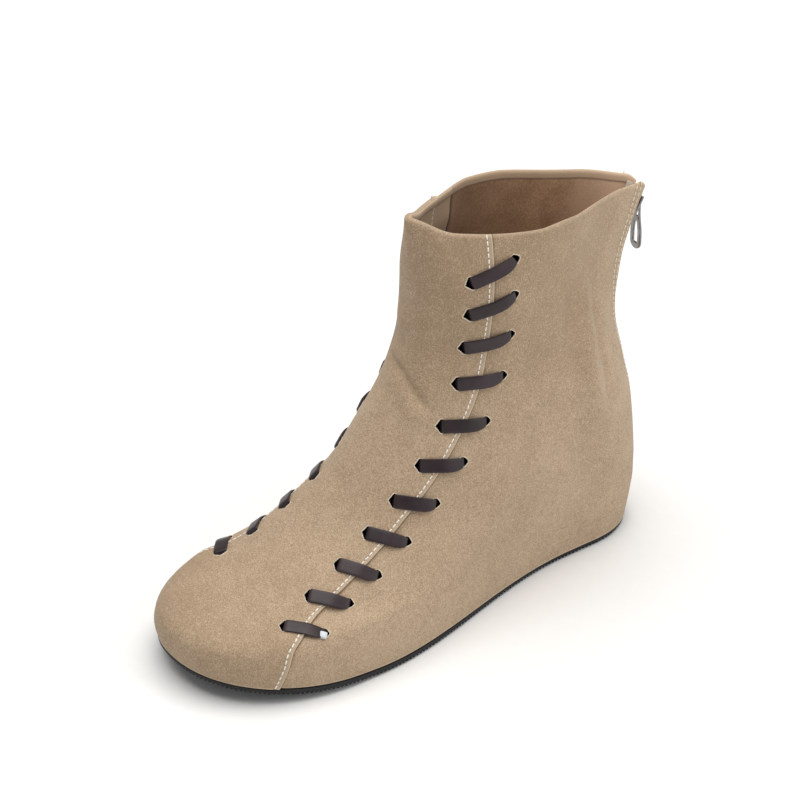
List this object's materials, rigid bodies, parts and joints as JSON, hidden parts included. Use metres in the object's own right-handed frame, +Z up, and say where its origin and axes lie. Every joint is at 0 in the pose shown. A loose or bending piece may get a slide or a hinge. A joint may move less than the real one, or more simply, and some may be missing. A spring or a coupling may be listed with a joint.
{
  "type": "costume ankle boot",
  "caption": "Left costume ankle boot: lapped suede panels, dark flat strip whipped over each side seam, zip up the back, lens-shaped slack collar and a thin flat sole.",
  "frame": {"origin": "middle of the bounding box in plan, on the floor plane that the sole stands on", "axes": "+Z up, +Y from the toe to the heel, +X to the outer side of the left foot"},
  "size_m": [0.103, 0.2736, 0.1982],
  "materials": {
    "suede": "matte brushed nap",
    "rubber": "matte",
    "insole": "matte",
    "strip": "semi-gloss",
    "zip_tape": "woven",
    "zip_chain": "satin",
    "zip_metal": "polished"
  },
  "bodies": {
    "boot": {"upper": "suede", "outsole": "rubber", "insole": "insole", "lace_outer_side": "strip", "lace_inner_side": "strip", "zip_tape": "zip_tape", "zip_chain": "zip_chain", "zip_slider": "zip_metal"},
    "pull_tab": {"zip_pull": "zip_metal"}
  },
  "joints": [
    {"name": "pull_swing", "type": "hinge", "parent": "boot", "child": "pull_tab", "pos_m": [-0.0026, 0.13447, 0.15946], "axis": [1, 0, 0], "range_deg": [-12, 140]}
  ]
}
